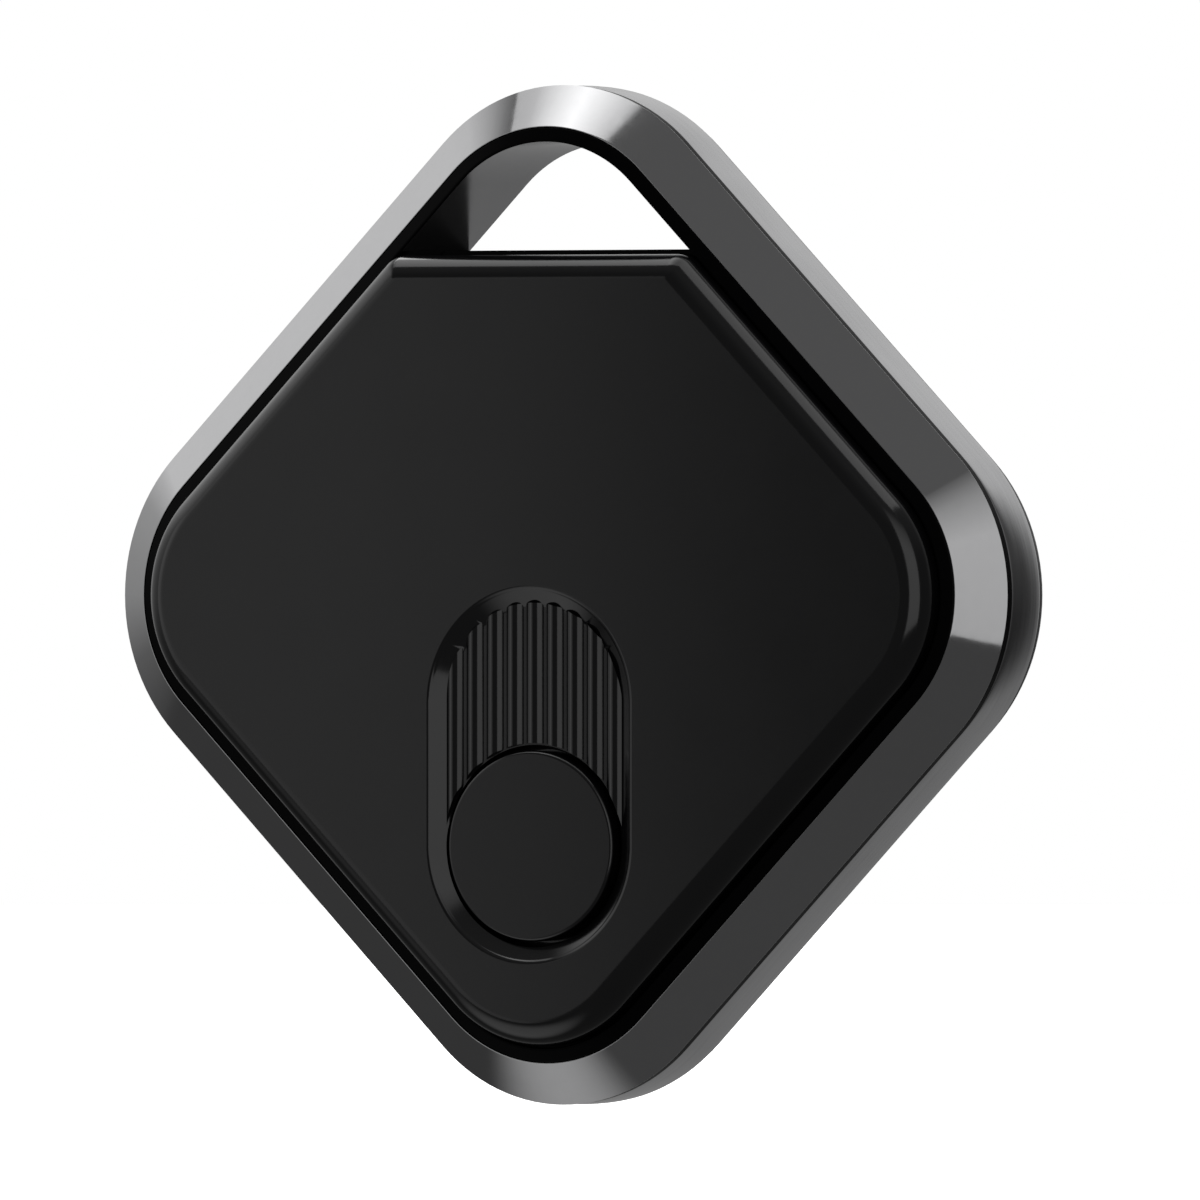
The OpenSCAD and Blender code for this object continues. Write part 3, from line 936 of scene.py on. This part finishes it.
softbox(
    "overhead_softbox", (-0.0825, 0.0, 0.5), 0.765, 0.41,
    [(0.0, 0.75), (0.12, 0.95), (0.36, 2.3), (0.54, 1.2), (0.66, 0.8), (1.0, 1.1)],
    "X",
)
softbox(
    "right_softbox", (0.335, -0.372, 0.187), 0.42, 0.7,
    [(0.0, 0.72), (0.54, 0.78), (0.78, 0.42), (0.92, 0.15), (1.0, 0.0)],
    "Y",
)
softbox(
    "front_softbox", (-0.357, -0.35, 0.0), 0.29, 0.26, [(0.0, 0.42), (1.0, 0.42)], "Y"
)
softbox("crown_softbox", (-0.32, 0.3, 0.5), 0.32, 0.46, [(0.0, 2.6), (1.0, 4.2)], "X")

world = bpy.data.worlds.new("studio")
bpy.context.scene.world = world
world.use_nodes = True
nodes, links = world.node_tree.nodes, world.node_tree.links


def ramp_of(value, low, high, out_low, out_high):
    """A smooth step of one part of the direction."""
    step = nodes.new("ShaderNodeMapRange")
    step.interpolation_type = "SMOOTHSTEP"
    for name, number in zip(
        ("From Min", "From Max", "To Min", "To Max"), (low, high, out_low, out_high)
    ):
        step.inputs[name].default_value = number
    links.new(value, step.inputs["Value"])
    return step.outputs["Result"]


def reckon(operation, *values):
    """One step of arithmetic on the parts of the direction."""
    sums = nodes.new("ShaderNodeMath")
    sums.operation = operation
    for socket, value in zip(sums.inputs, values):
        if isinstance(value, (int, float)):
            socket.default_value = value
        else:
            links.new(value, socket)
    return sums.outputs["Value"]


def bounce(towards, inner, outer, strength):
    """A soft round patch of light off the floor."""
    aimed = nodes.new("ShaderNodeVectorMath")
    aimed.operation = "DOT_PRODUCT"
    aimed.inputs[1].default_value = Vector(towards).normalized()
    links.new(direction.outputs["Generated"], aimed.inputs[0])
    return ramp_of(aimed.outputs["Value"], outer, inner, 0.0, strength)


# A dim room in front, a wall behind that darkens downwards and to the right, and a pale
# wall on the left whose brightness follows its height
direction = nodes.new("ShaderNodeTexCoord")
split = nodes.new("ShaderNodeSeparateXYZ")
links.new(direction.outputs["Generated"], split.inputs["Vector"])
wall = ramp_of(split.outputs["Y"], 0.35, 0.75, 0.0, 1.0)
height = ramp_of(split.outputs["Z"], -0.25, 0.5, 0.18, 0.72)
dark_side = ramp_of(split.outputs["X"], 0.2, 0.5, 1.0, 0.12)
back_wall = reckon("MULTIPLY", wall, height)
left_side = reckon(
    "MULTIPLY",
    ramp_of(split.outputs["X"], -0.8, -0.62, 1.0, 0.0),
    ramp_of(split.outputs["Y"], 0.45, 0.7, 1.0, 0.3),
)
left_height = profile_ramp(
    nodes,
    [
        (0.3, 0.0),
        (0.42, 0.12),
        (0.5, 0.35),
        (0.55, 0.4),
        (0.62, 0.5),
        (0.69, 1.0),
        (0.76, 0.95),
        (0.86, 0.25),
    ],
)
links.new(
    reckon("MULTIPLY_ADD", split.outputs["Z"], 0.5, 0.5), left_height.inputs["Fac"]
)
left_wall = reckon("MULTIPLY", left_side, left_height.outputs["Color"])
dim_room = reckon(
    "ADD",
    ramp_of(split.outputs["Z"], 0.3, 0.8, 0.1, 0.17),
    ramp_of(split.outputs["X"], -0.9, -0.3, -0.03, 0.0),
)
low_bounce = bounce((-0.55, -0.45, -0.72), 0.985, 0.84, 0.6)
walls = reckon("ADD", back_wall, left_wall)
lit = reckon("ADD", walls, reckon("ADD", dim_room, low_bounce))
shade = reckon("MULTIPLY_ADD", wall, reckon("SUBTRACT", dark_side, 1.0), 1.0)
room = nodes["Background"]
links.new(reckon("MULTIPLY", lit, shade), room.inputs["Strength"])
room.inputs["Color"].default_value = (1, 1, 1, 1)
paper = nodes.new("ShaderNodeBackground")
paper.inputs["Color"].default_value = (1, 1, 1, 1)
seen = nodes.new("ShaderNodeLightPath")
mixer = nodes.new("ShaderNodeMixShader")
links.new(seen.outputs["Is Camera Ray"], mixer.inputs["Fac"])
links.new(room.outputs["Background"], mixer.inputs[1])
links.new(paper.outputs["Background"], mixer.inputs[2])
links.new(mixer.outputs["Shader"], nodes["World Output"].inputs["Surface"])

put_down()
FLOOR_DROP = 0.2 * MM
bpy.ops.mesh.primitive_circle_add(
    vertices=64, radius=1.0, fill_type="NGON", location=(0, 0, cad_low.z - FLOOR_DROP)
)
floor = named("studio_floor")
# The floor glows, so that it stays as pale as the background, and shows in no reflection
floor_paper = finish("floor_paper", (0.86, 0.86, 0.86), (0.82, 0.82, 0.82), 0.8)
paper_glow = floor_paper.node_tree.nodes["Principled BSDF"]
paper_glow.inputs["Emission Color"].default_value = (1, 1, 1, 1)
paper_glow.inputs["Emission Strength"].default_value = 0.95
dress(floor, floor_paper)
floor.visible_glossy = False
floor.visible_diffuse = False

camera_data = bpy.data.cameras.new("camera")
camera = bpy.data.objects.new("camera", camera_data)
bpy.context.scene.collection.objects.link(camera)
VIEW_WIDTH = 54.55 * MM
DISTANCE = 1.5
SENSOR_WIDTH = 36
azimuth = math.radians(30)
right = Vector((math.cos(azimuth), math.sin(azimuth), 0))
back = Vector((math.sin(azimuth), -math.cos(azimuth), 0))
target = centre + right * 1.59 * MM - Vector((0, 0, 0.23 * MM))
camera.location = target + back * DISTANCE
aim(camera, target)
camera_data.sensor_width = SENSOR_WIDTH
camera_data.lens = SENSOR_WIDTH * DISTANCE / VIEW_WIDTH
camera_data.clip_end = 100
bpy.context.scene.camera = camera
bpy.context.scene.view_settings.view_transform = "Standard"
